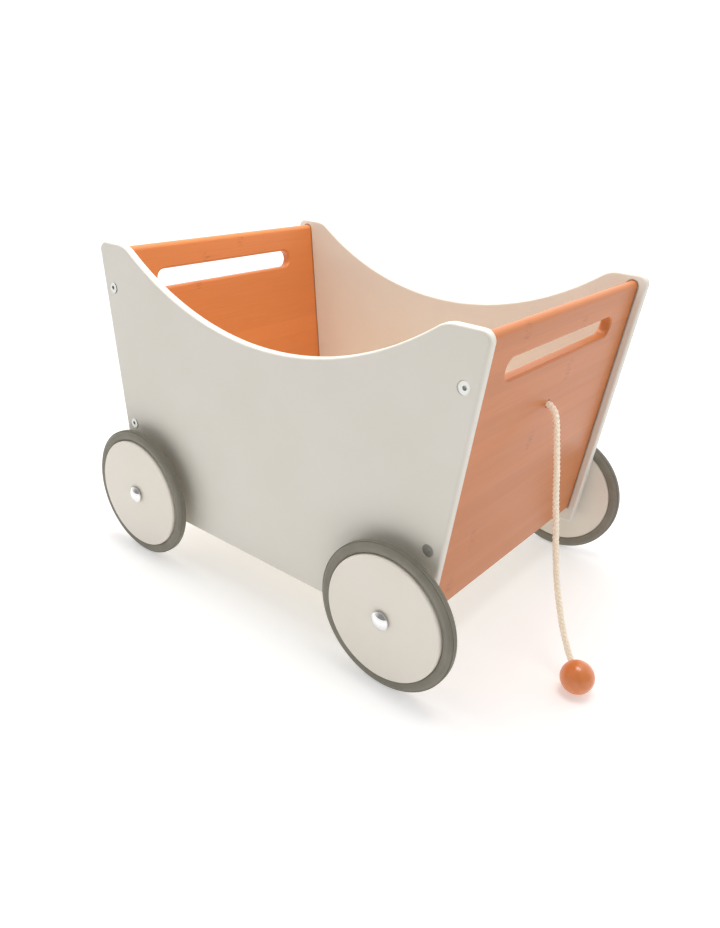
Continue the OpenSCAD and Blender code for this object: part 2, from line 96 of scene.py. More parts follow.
# %% Loft rings into a mesh
def new_piece(name, points, faces):
    mesh = bpy.data.meshes.new(name)
    mesh.from_pydata([tuple(p) for p in points], [], faces)
    made = bpy.data.objects.new(name, mesh)
    scene.collection.objects.link(made)
    shell = bmesh.new()
    shell.from_mesh(mesh)
    bmesh.ops.recalc_face_normals(shell, faces=shell.faces)
    shell.to_mesh(mesh)
    shell.free()
    return made


def loft(name, rings, closed=False):
    """Rings of equally many points, joined in order; closed joins the last ring to the first."""
    count = len(rings[0])
    points = [p for ring in rings for p in ring]
    faces = []
    for i in range(len(rings) if closed else len(rings) - 1):
        low, high = i * count, (i + 1) % len(rings) * count
        for k in range(count):
            after = (k + 1) % count
            faces.append((low + k, low + after, high + after, high + k))
    if not closed:
        faces.append(tuple(range(count)))
        faces.append(tuple(range((len(rings) - 1) * count, len(rings) * count)))
    return new_piece(name, points, faces)


# %% Settle modifiers and shade
def settle(piece):
    """Applies a piece's modifiers, so that what rides on the wagon is a plain mesh."""
    graph = bpy.context.evaluated_depsgraph_get()
    old = piece.data
    piece.data = bpy.data.meshes.new_from_object(piece.evaluated_get(graph))
    piece.data.name = piece.name
    piece.modifiers.clear()
    bpy.data.meshes.remove(old)
    return piece


def shade(piece, sharp_above=35):
    """Smooth shading with crisp edges, where big flat faces keep their own direction."""
    piece.data.shade_smooth()
    piece.data.set_sharp_from_angle(angle=math.radians(sharp_above))
    weighted = piece.modifiers.new("weighted", "WEIGHTED_NORMAL")
    weighted.keep_sharp = True
    return settle(piece)


def cut(piece, *cutters):
    for cutter in cutters:
        boolean = piece.modifiers.new("cut", "BOOLEAN")
        boolean.object = cutter
        boolean.operation = "DIFFERENCE"
        boolean.solver = "EXACT"
        settle(piece)
        bpy.data.objects.remove(cutter)
    return piece


# %% Turned shapes
def turned(name, profile, centre, axis, steps=128, closed=False):
    """A shape turned on a lathe: profile holds (radius, height along the axis) pairs."""
    axis = Vector(axis).normalized()
    side = axis.orthogonal().normalized()
    other = axis.cross(side)
    rings = []
    for radius, height in profile:
        foot = Vector(centre) + axis * height
        rings.append([
            foot + radius * (math.cos(a) * side + math.sin(a) * other)
            for a in (2 * math.pi * k / steps for k in range(steps))
        ])
    return loft(name, rings, closed)


def quarter(centre_radius, centre_height, radius, start, end, steps=6):
    """Points of an arc in a profile, from start to end in degrees; 0 points outward."""
    angles = [math.radians(start + (end - start) * i / steps) for i in range(steps + 1)]
    return [(centre_radius + radius * math.cos(a), centre_height + radius * math.sin(a)) for a in angles]


# %% [markdown]
# ## The pull cord's route
# The cord is a limp cotton braid as thick as a pencil. It leaves the front panel square to
# its face, bends over and hangs to the ball on the ground. It could be dropped with a simulation,
# but a short hanging cord is quicker and surer as a smooth curve through a few chosen points.

# %% Route of the cord
cord_diameter = 7 * MM
cord_exit = Vector((227.6, 0, 250.2)) * MM
inside_panel = [(224.6, 0, 250.6), (228.6, -0.2, 249.8)]
cord_route = [
    (232, -1, 248), (235.5, -2.5, 245.5), (238, -4, 242.5), (240, -5.5, 238.5),
    (242.5, -7.5, 232), (244.5, -9.5, 225.5), (247, -11.5, 217), (250, -13.5, 205),
    (253.5, -16, 191), (256.5, -18.5, 177), (259.5, -20.5, 163), (263, -23, 149),
    (266.5, -25.5, 135), (270, -28, 121), (274, -30.5, 107), (278, -33, 93),
    (283, -36, 79), (288.5, -39.5, 66.5), (294.5, -43.5, 54.5), (300.5, -47.5, 44.5),
    (306.5, -51.5, 36.5), (312, -55.5, 30.5),
]
ball_low, ball_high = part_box("pull_ball")
ball_centre = (ball_low + ball_high) / 2
ball_radius = (ball_high.z - ball_low.z) / 2
ball_mouth = Vector(cord_route[-1]) * MM
ball_axis = (ball_mouth - ball_centre).normalized()
cord_floor = 4 * MM
cord_points = [Vector(p) * MM for p in inside_panel + cord_route]
cord_points.append(ball_centre + ball_axis * cord_floor)


def smooth_line(points, spacing):
    """A smooth curve through the points, in steps of equal length."""
    padded = [2 * points[0] - points[1], *points, 2 * points[-1] - points[-2]]
    dense = []
    for a, b, c, d in zip(padded, padded[1:], padded[2:], padded[3:]):
        for i in range(40):
            t = i / 40
            dense.append(0.5 * (2 * b + (c - a) * t + (2 * a - 5 * b + 4 * c - d) * t ** 2
                                + (3 * b - 3 * c + d - a) * t ** 3))
    dense.append(points[-1])
    run = np.concatenate([[0], np.cumsum([(q - p).length for p, q in zip(dense, dense[1:])])])
    places = np.linspace(0, run[-1], round(run[-1] / spacing) + 1)
    table = np.array(dense)
    return [Vector([np.interp(s, run, table[:, k]) for k in range(3)]) for s in places], run[-1]


cord_line, cord_length = smooth_line(cord_points, 0.9 * MM)
print("the cord is", round(cord_length * 1000), "mm long, from the panel into the ball")

# %% [markdown]
# ## Braiding the cord
# A round braid has strands that wind both ways round a core and pass over and under each other. A
# bump texture on a tube could hint at that, but the plaits show in the outline, so each strand is
# a real flattened tube. Its distance from the middle rises and falls where it crosses another.

# %% Braid a line
def frames_along(line):
    """A direction and two crosswise directions at each point, that never twist suddenly."""
    frames = []
    across = None
    for i, here in enumerate(line):
        ahead = (line[min(i + 1, len(line) - 1)] - line[max(i - 1, 0)]).normalized()
        across = ahead.orthogonal() if across is None else across
        across = (across - ahead * across.dot(ahead)).normalized()
        frames.append((here, ahead, across, ahead.cross(across)))
    return frames


def braid(name, line, diameter, pitch, spacing, strands=8, sides=8):
    """Eight flattened strands round a core, half winding each way, over and under in turn."""
    wave = 0.1 * diameter
    half_width = 0.215 * diameter
    half_thick = 0.15 * diameter
    middle = diameter / 2 - wave - half_thick
    frames = frames_along(line)
    half = strands // 2
    points, faces, along = [], [], []

    def tube(rings, sizes):
        start = len(points)
        count = len(rings[0])
        for ring, size in zip(rings, sizes):
            points.extend(ring)
            along.extend([size] * count)
        for i in range(len(rings) - 1):
            for k in range(count):
                low = start + i * count
                after = (k + 1) % count
                faces.append((low + k, low + after, low + count + after, low + count + k))
        faces.append(tuple(start + k for k in range(count)))
        faces.append(tuple(start + (len(rings) - 1) * count + k for k in range(count)))

    for strand in range(strands):
        way = 1 if strand < half else -1
        rings, sizes = [], []
        for i, (here, ahead, across, other) in enumerate(frames):
            phase = 2 * math.pi * i * spacing / pitch
            angle = way * phase + 2 * math.pi * (strand % half) / half
            out = math.cos(angle) * across + math.sin(angle) * other
            around = ahead.cross(out)
            slope = math.atan2(2 * math.pi * middle, pitch) * way
            width_way = around * math.cos(slope) - ahead * math.sin(slope)
            centre = here + out * (middle + way * wave * math.cos(half * phase))
            rings.append([
                centre + width_way * half_width * math.cos(a) + out * half_thick * math.sin(a)
                for a in (2 * math.pi * k / sides for k in range(sides))
            ])
            sizes.append(i * spacing)
        tube(rings, sizes)
    core = [[here + (math.cos(a) * across + math.sin(a) * other) * (middle - half_thick * 0.6)
             for a in (2 * math.pi * k / 10 for k in range(10))]
            for here, ahead, across, other in frames]
    tube(core, [i * spacing for i in range(len(core))])
    made = new_piece(name, points, faces)
    made.data.shade_smooth()
    return made


cord_spacing = cord_length / (len(cord_line) - 1)
pull_cord = braid("braided_cord", cord_line, cord_diameter, 17.6 * MM, cord_spacing)
print("braided cord:", len(pull_cord.data.polygons), "faces")

# %% [markdown]
# ## The ball on the cord
# A turned wooden ball has a bore for the cord with a softened mouth. A lathe profile that starts
# at the bore's floor, comes up its wall, rolls over the mouth and runs round to the far pole gives
# that in one go, where a sphere with a hole cut in it would leave a hard edge.

# %% Turn the ball
bore_radius = cord_diameter / 2 + 0.15 * MM
mouth_radius = 0.8 * MM
mouth_reach = ball_radius - mouth_radius
mouth_from_axis = bore_radius + mouth_radius
mouth_height = math.sqrt(mouth_reach ** 2 - mouth_from_axis ** 2)
mouth_angle = math.degrees(math.atan2(mouth_height, mouth_from_axis))
ball_profile = [(0.02 * MM, cord_floor - 0.2 * MM), (bore_radius, cord_floor - 0.2 * MM)]
ball_profile += quarter(mouth_from_axis, mouth_height, mouth_radius, 180, mouth_angle, 6)
ball_profile += quarter(0, 0, ball_radius, mouth_angle - 2, -89.9, 60)
ball = turned("wooden_ball", ball_profile, ball_centre, ball_axis, 96)
shade(ball, 60)
print("ball:", round(ball_radius * 2000, 1), "mm across")

# %% [markdown]
# ## The stopper knot
# Behind the front panel the cord ends in an overhand knot, which keeps it from being pulled out.
# A knot is a closed mathematical curve with its ends drawn out, so three sine waves give its turns.
# The same braid is laid along it, drawn a little tighter, with a short tail that hangs down.

# %% Tie the knot
lean = math.radians(6.75)
panel_out = Vector((math.cos(lean), 0, -math.sin(lean)))
panel_up = Vector((math.sin(lean), 0, math.cos(lean)))
end_thickness = 12 * MM
knot_seat = cord_exit - panel_out * (end_thickness + 1 * MM)
knot_scale = 1.9 * MM
knot_half = 5.6 * MM


def knot_place(t):
    flat = Vector((0, math.sin(t) + 2 * math.sin(2 * t), math.cos(t) - 2 * math.cos(2 * t)))
    depth = 0.5 - 0.5 * math.sin(3 * t)
    seat = knot_seat - panel_out * (2.6 * MM + depth * knot_half)
    return seat + Vector((0, 1, 0)) * flat.y * knot_scale + panel_up * flat.z * knot_scale


knot_turns = [knot_place(math.radians(d)) for d in range(35, 345, 12)]
knot_tail = [knot_turns[-1] + Vector(step) * MM for step in ((-4, 2, -3), (-6, 3, -9), (-6.5, 3, -16))]
knot_lead = [cord_exit - panel_out * 3 * MM, knot_seat + panel_out * 6 * MM, knot_seat]
knot_line, knot_length = smooth_line(knot_lead + knot_turns + knot_tail, 0.9 * MM)
knot = braid("cord_knot", knot_line, 5.6 * MM, 21 * MM, knot_length / (len(knot_line) - 1))
print("knot: made from", round(knot_length * 1000), "mm of cord")

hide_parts("pull_rope")
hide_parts("pull_ball")
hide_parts("stopper_knot")
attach(ball, "pull_line")
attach(knot, "wagon_body")
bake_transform(pull_cord)

# %% [markdown]
# ## Finishes
# A finish is a shader whose colour, gloss and fine surface all vary a little. Image textures could
# be painted for that, but noise that lives in the part's own space needs no unwrapping, follows
# the part as it moves and never repeats. These helpers keep each finish short.

# %% Helpers for finishes
def new_finish(name, colour, roughness, **sockets):
    finish = bpy.data.materials.new(name)
    finish.use_nodes = True
    shader = finish.node_tree.nodes["Principled BSDF"]
    shader.inputs["Base Color"].default_value = (*colour, 1)
    shader.inputs["Roughness"].default_value = roughness
    for socket, value in sockets.items():
        shader.inputs[socket.replace("_", " ")].default_value = value
    return finish, finish.node_tree, shader


def add(tree, kind, inputs=None, **settings):
    made = tree.nodes.new(kind)
    for setting, value in settings.items():
        setattr(made, setting, value)
    for socket, value in (inputs or {}).items():
        if isinstance(value, bpy.types.NodeSocket):
            tree.links.new(value, made.inputs[socket])
        else:
            made.inputs[socket].default_value = value
    return made


def maths(tree, operation, first, second=0.0):
    return add(tree, "ShaderNodeMath", {0: first, 1: second}, operation=operation).outputs[0]


def mix(tree, factor, first, second, blend="MIX"):
    made = add(tree, "ShaderNodeMix", {0: factor}, data_type="RGBA", blend_type=blend)
    for index, value in ((6, first), (7, second)):
        if isinstance(value, bpy.types.NodeSocket):
            tree.links.new(value, made.inputs[index])
        else:
            made.inputs[index].default_value = (*value, 1)
    return made.outputs[2]


def ramp(tree, value, low, high, to_low=0.0, to_high=1.0):
    """Turns low..high of a value into to_low..to_high, with soft ends."""
    made = add(tree, "ShaderNodeMapRange", {0: value, 1: low, 2: high, 3: to_low, 4: to_high},
               interpolation_type="SMOOTHSTEP")
    return made.outputs[0]


def place_in_part(tree, scale=(1, 1, 1), turn_y=0.0):
    source = add(tree, "ShaderNodeTexCoord").outputs["Object"]
    turning = add(tree, "ShaderNodeMapping", {"Vector": source, "Rotation": (0, turn_y, 0)})
    return add(tree, "ShaderNodeMapping", {"Vector": turning.outputs[0], "Scale": scale}).outputs[0]


def noise(tree, vector, scale=1.0, detail=3.0, roughness=0.5):
    return add(tree, "ShaderNodeTexNoise",
               {"Vector": vector, "Scale": scale, "Detail": detail, "Roughness": roughness}).outputs[0]


def bump(tree, shader, height, distance, strength=1.0, under=None):
    made = add(tree, "ShaderNodeBump", {"Height": height, "Distance": distance, "Strength": strength})
    if under is not None:
        tree.links.new(under, made.inputs["Normal"])
    tree.links.new(made.outputs[0], shader.inputs["Normal"])
    return made.outputs[0]


# %% [markdown]
# ### Painted wood
# The sides and the wheel discs are plywood under sprayed off-white paint. The paint is satin and
# very even, so its life is in small things: a faint cloudiness in the colour, a fine orange-peel
# surface, patches that are a touch glossier, and edges where handling has polished the paint to a
# lower roughness. The same sharp edges also get a painted highlight: their colour is lightened to
# a bright ivory, like the light they catch.

# %% Paint
def paint_finish(name, colour, warmth):
    finish, tree, shader = new_finish(name, colour, 0.42, Specular_IOR_Level=0.45)
    place = place_in_part(tree)
    cloud = noise(tree, place, 9.0, 4.0)
    speck = noise(tree, place, 160.0, 3.0)
    tint = tuple(c * w for c, w in zip(colour, warmth))
    clouded = mix(tree, ramp(tree, cloud, 0.35, 0.7), colour, tint)
    # painted highlight: the colour lightens to a bright ivory on sharp edges, as where they catch the
    # light; the same mask also lowers the roughness there
    edge = ramp(tree, add(tree, "ShaderNodeNewGeometry").outputs["Pointiness"], 0.5, 0.62)
    with_edge_highlight = mix(tree, maths(tree, "MULTIPLY", edge, 0.35), clouded, (0.93, 0.89, 0.8))
    tree.links.new(with_edge_highlight, shader.inputs["Base Color"])
    gloss = maths(tree, "ADD", ramp(tree, speck, 0.3, 0.7, 0.36, 0.48),
                  maths(tree, "MULTIPLY", edge, -0.08))
    tree.links.new(gloss, shader.inputs["Roughness"])
    peel = bump(tree, shader, noise(tree, place, 900.0, 2.0), 0.05 * MM, 0.25)
    bump(tree, shader, noise(tree, place, 60.0, 3.0), 0.1 * MM, 0.2, peel)
    return finish


side_paint = paint_finish("side_paint", (0.79, 0.755, 0.685), (0.975, 0.97, 0.95))
# painted light: the discs' copy of the paint is lighter than the sides', to offset the shade they sit in
# beside the body
disc_paint = paint_finish("disc_paint", (0.88, 0.82, 0.735), (0.98, 0.975, 0.96))
print("paints:", side_paint.name, disc_paint.name)

# %% [markdown]
# ### Stained bamboo
# A bamboo board is glued from long strips. Each strip has its own tone, hair-fine fibres along its
# length and, once in a while, a joint of the cane that shows as a short band of dark flecks. The
# strips are found by dividing the height into steps, and each step's random number sets its tone
# A clear varnish lies over all of it. Sharp edges are lightened as a painted highlight, and the front
# board's tones are darkened as painted shade.

# %% Bamboo
def bamboo_finish(name, turn_y, seed, painted_shade_dim=1.0):
    finish, tree, shader = new_finish(name, (0.68, 0.225, 0.065), 0.4, Coat_Weight=0.12,
                                      Coat_Roughness=0.25, Specular_IOR_Level=0.35)
    place = place_in_part(tree, turn_y=turn_y)
    parts = add(tree, "ShaderNodeSeparateXYZ", {0: place})
    strip_height = 21 * MM
    row = maths(tree, "DIVIDE", parts.outputs["Z"], strip_height)
    row = maths(tree, "ADD", row, seed)
    number = maths(tree, "FLOOR", row)
    chance = add(tree, "ShaderNodeTexWhiteNoise", {"W": number}, noise_dimensions="1D")
    shades = add(tree, "ShaderNodeSeparateColor", {0: chance.outputs["Color"]})
    # fibres
    fibre_place = place_in_part(tree, (900, 16, 900), turn_y)
    fibre = noise(tree, fibre_place, 1.0, 4.0, 0.6)
    vein = noise(tree, place_in_part(tree, (90, 2.2, 90), turn_y), 1.0, 3.0, 0.55)
    base = mix(tree, ramp(tree, fibre, 0.3, 0.7), (0.68, 0.218, 0.059), (0.71, 0.236, 0.067))
    base = mix(tree, ramp(tree, vein, 0.42, 0.68, 0.0, 0.07), base, (0.60, 0.175, 0.047))
    # painted shade: the last argument darkens all the strip tones; the front board gets 0.85 because its
    # face is turned from the light
    darkest = tuple(painted_shade_dim * c for c in (0.95, 0.94, 0.93))
    lightest = tuple(painted_shade_dim * c for c in (1.03, 1.03, 1.04))
    tone = mix(tree, shades.outputs["Red"], darkest, lightest)
    base = mix(tree, 1.0, base, tone, "MULTIPLY")
    # joints of the cane
    wobble = noise(tree, place_in_part(tree, (50, 50, 50), turn_y), 1.0, 2.0)
    joint_spread, joint_wander = 0.42, 0.006
    joint_at = maths(tree, "MULTIPLY", maths(tree, "SUBTRACT", shades.outputs["Green"], 0.5), joint_spread)
    wander = maths(tree, "MULTIPLY", maths(tree, "SUBTRACT", wobble, 0.5), joint_wander)
    from_joint = maths(tree, "SUBTRACT", parts.outputs["Y"], joint_at)
    away = maths(tree, "ABSOLUTE", maths(tree, "ADD", from_joint, wander))
    band = ramp(tree, away, 2 * MM, 8 * MM, 1.0, 0.0)
    fleck_place = place_in_part(tree, (300, 110, 620), turn_y)
    fleck = ramp(tree, noise(tree, fleck_place, 1.0, 3.0, 0.7), 0.44, 0.66)
    has_joint = maths(tree, "GREATER_THAN", shades.outputs["Blue"], 0.35)
    joint = maths(tree, "MULTIPLY", maths(tree, "MULTIPLY", band, fleck), has_joint)
    base = mix(tree, maths(tree, "MULTIPLY", joint, 0.5), base, (0.33, 0.09, 0.027))
    # glue lines between strips
    within = maths(tree, "ABSOLUTE", maths(tree, "SUBTRACT", maths(tree, "FRACT", row), 0.5))
    glue = ramp(tree, within, 0.485, 0.5, 0.0, 0.16)
    base = mix(tree, glue, base, (0.36, 0.11, 0.035))
    # painted highlight: sharp edges are lightened to a bright orange, as where the top edges catch the
    # light
    edge = ramp(tree, add(tree, "ShaderNodeNewGeometry").outputs["Pointiness"], 0.51, 0.6)
    base = mix(tree, maths(tree, "MULTIPLY", edge, 0.3), base, (0.80, 0.33, 0.12))
    tree.links.new(base, shader.inputs["Base Color"])
    tree.links.new(ramp(tree, vein, 0.3, 0.7, 0.34, 0.4), shader.inputs["Roughness"])
    grooves = bump(tree, shader, fibre, 0.06 * MM, 0.35)
    sunk = maths(tree, "MULTIPLY", maths(tree, "ADD", joint, glue), -1.0)
    bump(tree, shader, sunk, 0.08 * MM, 0.4, grooves)
    return finish


# the front board's copy is darkened to 0.85 as painted shade; the rear board's is not
front_bamboo = bamboo_finish("front_bamboo", -lean, 3.0, 0.85)
rear_bamboo = bamboo_finish("rear_bamboo", lean, 14.0)
print("bamboo:", front_bamboo.name, rear_bamboo.name)

# %% [markdown]
# ### Plain woods
# The floor and the rails and cleats under it are bare birch, and the ball is turned from stained
# birch under varnish. Both have growth rings, which a wave texture bent by noise gives well.

# %% Birch and ball wood
def turned_wood_finish(name, light, dark, roughness, coat, ring_scale):
    finish, tree, shader = new_finish(name, light, roughness, Coat_Weight=coat, Coat_Roughness=0.15)
    place = place_in_part(tree, (1.0, 0.12, 1.0))
    ring = add(tree, "ShaderNodeTexWave",
               {"Vector": place, "Scale": ring_scale, "Distortion": 6.0, "Detail": 3.0,
                "Detail Scale": 1.5},
               wave_type="BANDS", bands_direction="DIAGONAL").outputs["Fac"]
    fibre = noise(tree, place_in_part(tree, (700, 30, 700)), 1.0, 3.0)
    grain = mix(tree, ramp(tree, ring, 0.2, 0.95, 0.0, 0.55), light, dark)
    grain = mix(tree, ramp(tree, fibre, 0.45, 0.75, 0.0, 0.35), grain, dark)
    tree.links.new(grain, shader.inputs["Base Color"])
    gloss = ramp(tree, fibre, 0.3, 0.7, roughness - 0.05, roughness + 0.08)
    tree.links.new(gloss, shader.inputs["Roughness"])
    bump(tree, shader, fibre, 0.04 * MM, 0.3)
    return finish


birch = turned_wood_finish("bare_birch", (0.86, 0.78, 0.64), (0.79, 0.69, 0.53), 0.62, 0.0, 40)
ball_wood = turned_wood_finish("stained_ball", (0.82, 0.255, 0.072), (0.76, 0.215, 0.058), 0.32, 0.5, 55)
print("woods:", birch.name, ball_wood.name)

# %% [markdown]
# ### Rubber
# The tyres are an olive-grey rubber. It is almost matt, a little dusty in its hollows, and has a
# fine moulded texture that breaks up the highlight.

# %% Rubber
def rubber_finish(name):
    finish, tree, shader = new_finish(name, (0.15, 0.138, 0.108), 0.6, Specular_IOR_Level=0.4)
    place = place_in_part(tree)
    dust = noise(tree, place, 45.0, 4.0, 0.6)
    fine = noise(tree, place, 700.0, 3.0)
    hollow = ramp(tree, add(tree, "ShaderNodeNewGeometry").outputs["Pointiness"], 0.42, 0.5, 1.0, 0.0)
    colour = mix(tree, ramp(tree, dust, 0.35, 0.7, 0.0, 0.6), (0.225, 0.208, 0.167), (0.28, 0.26, 0.213))
    colour = mix(tree, maths(tree, "MULTIPLY", hollow, 0.4), colour, (0.32, 0.30, 0.245))
    tree.links.new(colour, shader.inputs["Base Color"])
    tree.links.new(ramp(tree, fine, 0.3, 0.7, 0.5, 0.68), shader.inputs["Roughness"])
    bump(tree, shader, fine, 0.04 * MM, 0.4)
    return finish


tyre_rubber = rubber_finish("tyre_rubber")
print("rubber:", tyre_rubber.name)

# %% [markdown]
# ### Metals and nylon
# Axle caps are polished chrome, the countersunk bolts are nickel plated and slightly duller, the
# axle rods are ground steel with marks round them, and the inserts are turned brass. What tells
# them apart is colour and how much their polish varies.

# %% Metals and nylon
def metal_finish(name, colour, low, high, streak=(300, 300, 300)):
    finish, tree, shader = new_finish(name, colour, low, Metallic=1.0)
    smudge = noise(tree, place_in_part(tree), 120.0, 4.0)
    scratch = noise(tree, place_in_part(tree, streak), 4.0, 2.0)
    tree.links.new(ramp(tree, smudge, 0.3, 0.75, low, high), shader.inputs["Roughness"])
    tarnish = mix(tree, ramp(tree, smudge, 0.5, 0.8, 0.0, 0.35), colour, tuple(0.82 * c for c in colour))
    tree.links.new(tarnish, shader.inputs["Base Color"])
    bump(tree, shader, scratch, 0.01 * MM, 0.25)
    return finish


def nylon_finish():
    finish, tree, shader = new_finish("nylon", (0.82, 0.80, 0.74), 0.5, Subsurface_Weight=0.1)
    shader.inputs["Subsurface Radius"].default_value = (1.2 * MM, 1.0 * MM, 0.8 * MM)
    grain = noise(tree, place_in_part(tree), 800.0, 2.0)
    tree.links.new(ramp(tree, grain, 0.3, 0.7, 0.45, 0.58), shader.inputs["Roughness"])
    tree.links.new(mix(tree, ramp(tree, grain, 0.3, 0.7), (0.79, 0.77, 0.71), (0.85, 0.83, 0.78)),
                   shader.inputs["Base Color"])
    bump(tree, shader, grain, 0.03 * MM, 0.3)
    return finish


chrome = metal_finish("cap_chrome", (0.80, 0.80, 0.80), 0.05, 0.14)
nickel = metal_finish("bolt_nickel", (0.74, 0.74, 0.71), 0.36, 0.5)
zinc = metal_finish("screw_zinc", (0.60, 0.60, 0.58), 0.28, 0.45)
rod_steel = metal_finish("axle_steel", (0.56, 0.57, 0.58), 0.2, 0.35, (300, 20, 300))
brass = metal_finish("insert_brass", (0.72, 0.52, 0.24), 0.2, 0.35)
nylon = nylon_finish()
print("metals:", chrome.name, nickel.name, zinc.name, rod_steel.name, brass.name)

# %% [markdown]
# ### Cotton
# The cord's yarn is natural cotton: cream, quite matt, with a soft sheen at grazing angles and
# darker shade between the fibres. Light that enters white yarn wanders between its fibres and
# comes out again, so the plaits are never truly dark; a very weak glow of its own stands in for it.

# %% Cotton
def cotton_finish():
    finish, tree, shader = new_finish("natural_cotton", (0.97, 0.88, 0.74), 0.85, Sheen_Weight=0.5,
                                      Sheen_Roughness=0.5, Emission_Strength=0.13)
    shader.inputs["Emission Color"].default_value = (0.97, 0.76, 0.54, 1)
    yarn = noise(tree, place_in_part(tree, (900, 900, 500)), 1.0, 3.0, 0.6)
    patch = noise(tree, place_in_part(tree), 60.0, 3.0)
    colour = mix(tree, ramp(tree, yarn, 0.35, 0.65), (0.93, 0.82, 0.66), (0.98, 0.91, 0.79))
    colour = mix(tree, ramp(tree, patch, 0.4, 0.7, 0.0, 0.3), colour, (0.95, 0.84, 0.69))
    tree.links.new(colour, shader.inputs["Base Color"])
    tree.links.new(ramp(tree, patch, 0.3, 0.7, 0.8, 0.92), shader.inputs["Roughness"])
    bump(tree, shader, yarn, 0.12 * MM, 0.3)
    return finish


cotton = cotton_finish()
for piece, finish in ((pull_cord, cotton), (knot, cotton), (ball, ball_wood)):
    piece.data.materials.clear()
    piece.data.materials.append(finish)
print("cord, knot and ball are finished")

# %% [markdown]
# ## Boards with rounded edges
# Every board of the wagon has its edges rounded over with a router. A bevel modifier could round a
# plain extrusion, but it struggles where an outline is already curved. Here the outline carries
# its own outward directions, so each ring of the rounding is the outline drawn in by a little.

# %% Outlines and boards
def arc(centre_u, centre_v, radius, start, end, steps, hollow=False):
    """Outline points with their outward directions; hollow arcs face their centre."""
    found = []
    for i in range(steps + 1):
        a = math.radians(start + (end - start) * i / steps)
        outward = -1 if hollow else 1
        found.append((centre_u + radius * math.cos(a), centre_v + radius * math.sin(a),
                      outward * math.cos(a), outward * math.sin(a)))
    return found


def board(name, outline, low, high, rounding, to_world, steps=5):
    """An outline given thickness from low to high, with both its edges rounded."""
    angles = [math.pi / 2 * i / steps for i in range(steps + 1)]
    half = [(rounding * (1 - math.sin(a)), rounding * (1 - math.cos(a))) for a in angles]
    layers = [(inset, low + depth) for inset, depth in half]
    layers += [(inset, high - depth) for inset, depth in reversed(half)]
    rings = [[to_world(u - nu * inset, v - nv * inset, w) for u, v, nu, nv in outline]
             for inset, w in layers]
    return loft(name, rings)


# %% [markdown]
# ## The side panels
# A side panel is a sheet of plywood with leaning ends and a long dip in its top edge, which two
# shoulders lead into. Each curve of the outline is a true arc, and the arcs meet where they touch,
# which is how a jigsaw template would be drawn. Bolts sit in countersunk holes near the ends, and
# a shallow groove inside takes the edge of each end panel.

# %% Outline of a side panel
side_low, side_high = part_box("side_panel_left")
side_foot, side_top = side_low.z, side_high.z
side_height = side_top - side_foot
half_base = side_high.x - side_height * math.tan(lean)
lean_degrees = math.degrees(lean)
dip_radius, shoulder_radius = 341 * MM, 28 * MM
dip_centre = side_top - 68 * MM + dip_radius
shoulder_z = side_top - shoulder_radius
shoulder_x = math.sqrt((dip_radius + shoulder_radius) ** 2 - (dip_centre - shoulder_z) ** 2)
meet = math.degrees(math.atan2(dip_centre - shoulder_z, -shoulder_x))


def corner_centre(z, radius):
    """How far out the centre of a corner's arc stands, at height z, inside the leaning end."""
    return half_base + (math.sin(lean) * (z - side_foot) - radius) / math.cos(lean)


def side_outline():
    foot_radius, top_radius = 4 * MM, 10 * MM
    foot_z, top_z = side_foot + foot_radius, side_top - top_radius
    right_half = arc(corner_centre(foot_z, foot_radius), foot_z, foot_radius, -90, -lean_degrees, 8)
    right_half += arc(corner_centre(top_z, top_radius), top_z, top_radius, -lean_degrees, 90, 12)
    right_half += arc(shoulder_x, shoulder_z, shoulder_radius, 90, meet, 10)
    dip = arc(0, dip_centre, dip_radius, meet - 180, -meet, 56, hollow=True)[1:-1]
    left_half = [(-u, v, -nu, nv) for u, v, nu, nv in reversed(right_half)]
    return right_half + dip + left_half


print("side outline:", len(side_outline()), "points, dip meets shoulder at", round(meet, 1), "degrees")

# %% Places on a leaning end
FRONT, REAR = 1, -1
LEFT, RIGHT = 1, -1
end_inset = 9 * MM
end_rise = 18 * MM
top_step = 7.5 * MM
end_top = side_height / math.cos(lean) - top_step - end_inset * math.tan(lean)


def on_end(end):
    """Turns (outward, up the slope, sideways) on a leaning end into a place on the wagon."""
    def place(out, slope, sideways):
        return Vector((end * (half_base + out * math.cos(lean) + slope * math.sin(lean)), sideways,
                       side_foot - out * math.sin(lean) + slope * math.cos(lean)))
    return place


def end_outline(grown=0.0):
    """The end panel's cross-section: nearly full-round at the top, softened at the bottom."""
    outer, inner = -end_inset + grown, -end_inset - end_thickness - grown
    top_radius, foot_radius = end_thickness / 2 - 0.1 * MM + grown, 1 * MM
    top, foot = end_top + grown, end_rise - grown
    return (arc(outer - foot_radius, foot + foot_radius, foot_radius, -90, 0, 3)
            + arc(outer - top_radius, top - top_radius, top_radius, 0, 90, 12)
            + arc(inner + top_radius, top - top_radius, top_radius, 90, 180, 12)
            + arc(inner + foot_radius, foot + foot_radius, foot_radius, 180, 270, 3))


# %% Make the side panels
bolt_slopes = (end_rise + 82 * MM, end_top - 42 * MM)
bolt_places = [(end, slope) for end in (FRONT, REAR) for slope in bolt_slopes]
head_radius, hole_radius, axle_bore_radius = 6.3 * MM, 3.3 * MM, 4.2 * MM
cone_depth = 3 * MM
side_rounding = 2.5 * MM
groove_depth, groove_gap = 2.4 * MM, 1.5 * MM
past_face, past_back = 4 * MM, -16 * MM
axle_low, axle_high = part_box("axle_front")
axle_x, axle_z = (axle_low.x + axle_high.x) / 2, (axle_low.z + axle_high.z) / 2


